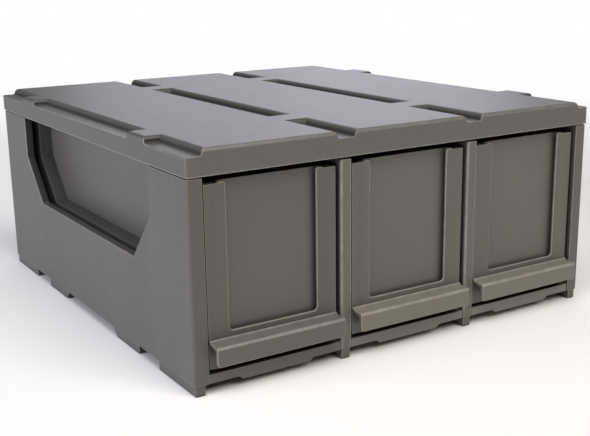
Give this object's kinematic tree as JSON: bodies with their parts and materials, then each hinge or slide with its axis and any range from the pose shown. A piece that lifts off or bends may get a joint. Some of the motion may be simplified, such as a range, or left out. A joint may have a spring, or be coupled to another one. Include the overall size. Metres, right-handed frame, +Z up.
{
  "type": "trading card drawer box",
  "caption": "Stackable moulded plastic box with side-by-side drawers for trading cards, hooked pulls, windowed side walls and a lid grooved for the feet of a box on top.",
  "frame": {"origin": "on the floor plane, under the middle of the whole box with its pulls", "axes": "+Z up, +Y towards the back, +X to the right of someone facing the drawers"},
  "size_m": [0.37, 0.401, 0.171],
  "materials": {
    "case_plastic": "satin moulded grey plastic, fine texture",
    "lid_plastic": "satin moulded grey plastic, fine texture",
    "drawer_plastic": "satin moulded grey plastic, fine texture"
  },
  "bodies": {
    "case": {"lid": "lid_plastic", "left_side_wall": "case_plastic", "right_side_wall": "case_plastic", "back_panel": "case_plastic", "left_divider": "case_plastic", "right_divider": "case_plastic", "left_floor": "case_plastic", "middle_floor": "case_plastic", "right_floor": "case_plastic"},
    "left_drawer": {"left_tray": "drawer_plastic", "left_front_frame": "drawer_plastic", "left_pull": "drawer_plastic"},
    "middle_drawer": {"middle_tray": "drawer_plastic", "middle_front_frame": "drawer_plastic", "middle_pull": "drawer_plastic"},
    "right_drawer": {"right_tray": "drawer_plastic", "right_front_frame": "drawer_plastic", "right_pull": "drawer_plastic"}
  },
  "joints": [
    {"name": "left_drawer_slide", "type": "slide", "parent": "case", "child": "left_drawer", "axis": [0, -1, 0], "range_m": [0, 0.2918]},
    {"name": "middle_drawer_slide", "type": "slide", "parent": "case", "child": "middle_drawer", "axis": [0, -1, 0], "range_m": [0, 0.2918]},
    {"name": "right_drawer_slide", "type": "slide", "parent": "case", "child": "right_drawer", "axis": [0, -1, 0], "range_m": [0, 0.2918]}
  ]
}
